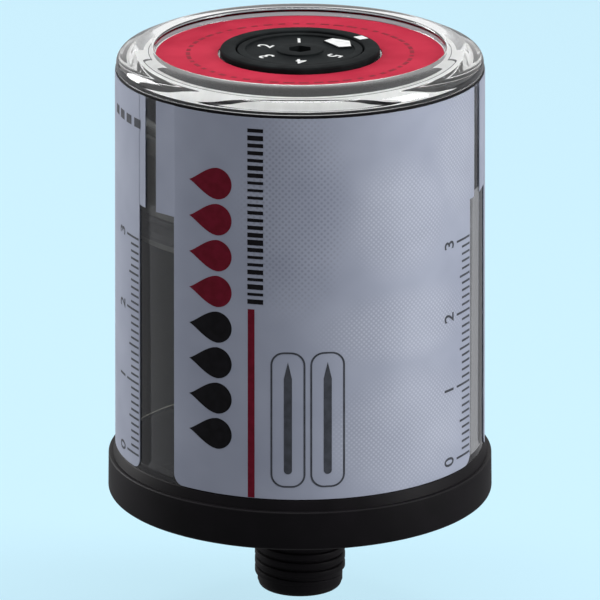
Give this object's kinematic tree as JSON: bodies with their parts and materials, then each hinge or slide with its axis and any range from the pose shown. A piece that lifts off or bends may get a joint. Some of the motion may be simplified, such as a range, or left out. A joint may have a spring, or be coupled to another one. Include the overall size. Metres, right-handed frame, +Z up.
{
  "type": "automatic lubricator",
  "caption": "Gas-driven single-point automatic lubricator: clear container with level windows, piston, setting dial and black base with a threaded outlet stub.",
  "frame": {"origin": "on the centre line at the underside of the base, where the outlet thread starts", "axes": "+Z up along the centre line, from the outlet to the dial; the middle of the front label faces -Y; the outlet stub points down -Z"},
  "size_m": [0.055, 0.055, 0.0805],
  "materials": {
    "clear_polyamide": "clear moulded polyamide, polished",
    "black_plastic": "black moulded polyamide, fine satin",
    "dial_plastic": "black moulded plastic, fine satin",
    "silver_film": "silver-grey printed polyester film, satin",
    "red_film": "red printed polyester film, satin",
    "grey_plastic": "dark grey moulded polypropylene",
    "seal_rubber": "nitrile rubber",
    "guide_plastic": "acetal guide strip",
    "grease": "translucent lubricant",
    "plug_plastic": "black polyethylene",
    "spring_steel": "bright spring steel strip",
    "cell_steel": "nickel-plated deep-drawn steel",
    "contact_brass": "bright brass strip",
    "board_laminate": "green glass-fibre laminate with solder mask",
    "resistor_ceramic": "chip resistors with dark glaze",
    "membrane_film": "porous white fluoropolymer film"
  },
  "bodies": {
    "container": {"housing": "clear_polyamide", "base_cap": "black_plastic", "base_seal": "seal_rubber", "label_front": "silver_film", "label_rear": "silver_film", "top_label": "red_film", "lubricant": "grease", "generator_body": "black_plastic", "generator_seal": "seal_rubber", "circuit_board": "board_laminate", "contact_pads": "contact_brass", "resistors": "resistor_ceramic", "gas_cell": "cell_steel", "cell_contact": "spring_steel", "side_contact": "spring_steel", "cell_holder": "grey_plastic", "gas_membrane": "membrane_film", "generator_cover": "black_plastic"},
    "piston_unit": {"piston": "grey_plastic", "piston_lip_seal": "seal_rubber", "piston_guide_ring": "guide_plastic"},
    "dial_unit": {"dial": "dial_plastic", "dial_seal": "seal_rubber", "dial_clip": "spring_steel", "wiper": "contact_brass"},
    "plug": {"outlet_plug": "plug_plastic"}
  },
  "joints": [
    {"name": "piston_stroke", "type": "slide", "parent": "container", "child": "piston_unit", "axis": [0, 0, -1], "range_m": [0, 0.0326], "deforming": ["lubricant"]},
    {"name": "dial_setting", "type": "hinge", "parent": "container", "child": "dial_unit", "pos_m": [0, 0, 0.0634], "axis": [0, 0, 1], "range_deg": [0, 300]},
    {"name": "plug_removal", "type": "slide", "parent": "container", "child": "plug", "axis": [0, 0, -1], "range_m": [0, 0.009]}
  ]
}
